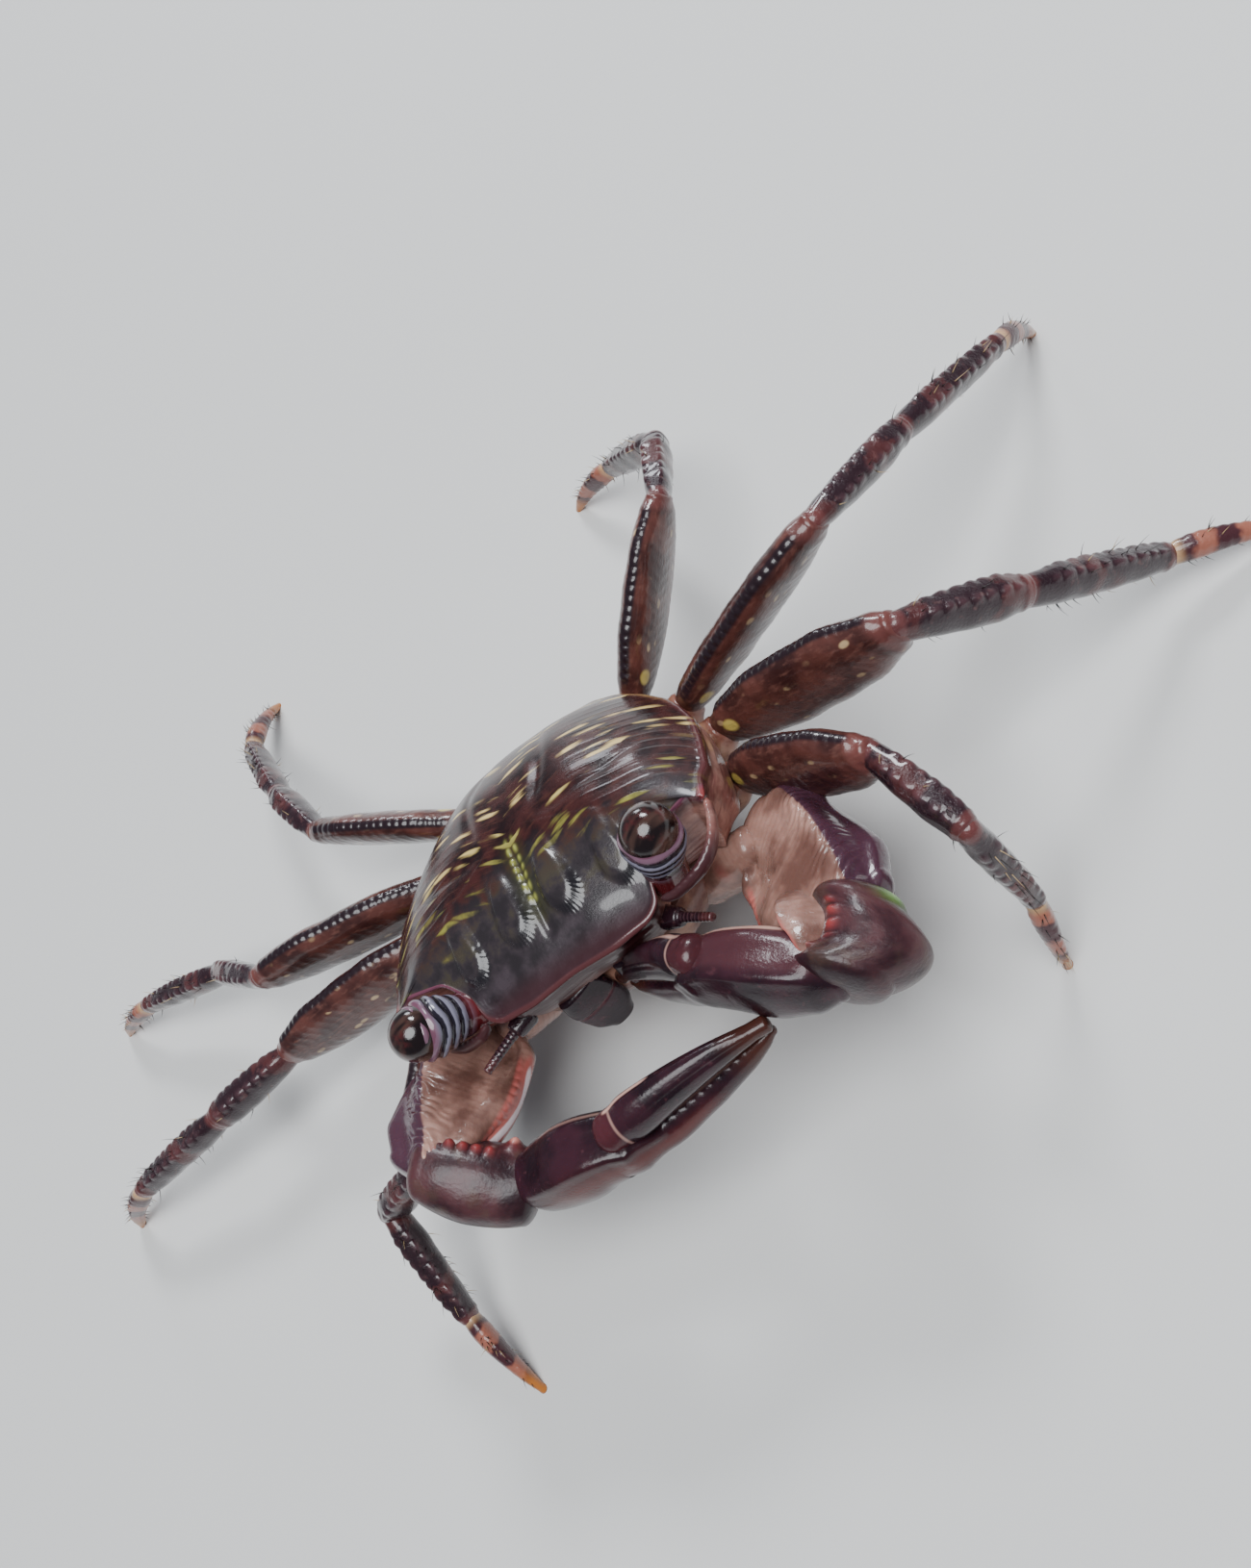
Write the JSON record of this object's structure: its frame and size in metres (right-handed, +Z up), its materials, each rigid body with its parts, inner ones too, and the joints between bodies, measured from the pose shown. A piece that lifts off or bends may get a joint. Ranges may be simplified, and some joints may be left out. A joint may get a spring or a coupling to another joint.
{
  "type": "shore crab",
  "caption": "Life-size still model of a marbled shore crab braced on its walking legs, one claw raised before its face and the other held across its mouth.",
  "frame": {"origin": "middle of the whole crab's bounding box, on the surface that its leg tips stand on", "axes": "+Z up from that surface, the crab facing -Y, so that its own left side is at +X"},
  "size_m": [0.0942, 0.0578, 0.0196],
  "materials": {
    "shell": "wet glossy shell, blackish purple-brown with yellow-gold flecks",
    "underside": "tan shell, damp",
    "eye": "very glossy dark olive-brown",
    "stalk": "glossy, banded grey and dark purple",
    "feeler": "thin brown feelers",
    "claw": "wet glossy maroon-purple with ivory edges and brown tips",
    "claw_arm": "glossy pink-tan with fine wrinkles and a purple ridge",
    "thigh": "chestnut-brown shell with cream flecks and dark margins",
    "shin": "purple-black shell with reddish-brown bands",
    "toe": "banded purple and pink, amber tip"
  },
  "bodies": {
    "root": {"carapace": "shell", "underbody": "underside", "abdomen": "underside", "eye_left": "eye", "eyestalk_left": "stalk", "mouthpart_left": "underside", "antenna_left": "feeler", "claw_left_ischium": "claw_arm", "claw_left_merus": "claw_arm", "claw_left_carpus": "claw", "claw_left_palm": "claw", "claw_left_finger": "claw", "leg_left_1_merus": "thigh", "leg_left_1_carpus": "shin", "leg_left_1_propodus": "shin", "leg_left_1_dactylus": "toe", "leg_left_2_merus": "thigh", "leg_left_2_carpus": "shin", "leg_left_2_propodus": "shin", "leg_left_2_dactylus": "toe", "leg_left_3_merus": "thigh", "leg_left_3_carpus": "shin", "leg_left_3_propodus": "shin", "leg_left_3_dactylus": "toe", "leg_left_4_merus": "thigh", "leg_left_4_carpus": "shin", "leg_left_4_propodus": "shin", "leg_left_4_dactylus": "toe", "eye_right": "eye", "eyestalk_right": "stalk", "mouthpart_right": "underside", "antenna_right": "feeler", "claw_right_ischium": "claw_arm", "claw_right_merus": "claw_arm", "claw_right_carpus": "claw", "claw_right_palm": "claw", "claw_right_finger": "claw", "leg_right_1_merus": "thigh", "leg_right_1_carpus": "shin", "leg_right_1_propodus": "shin", "leg_right_1_dactylus": "toe", "leg_right_2_merus": "thigh", "leg_right_2_carpus": "shin", "leg_right_2_propodus": "shin", "leg_right_2_dactylus": "toe", "leg_right_3_merus": "thigh", "leg_right_3_carpus": "shin", "leg_right_3_propodus": "shin", "leg_right_3_dactylus": "toe", "leg_right_4_merus": "thigh", "leg_right_4_carpus": "shin", "leg_right_4_propodus": "shin", "leg_right_4_dactylus": "toe"}
  },
  "joints": []
}
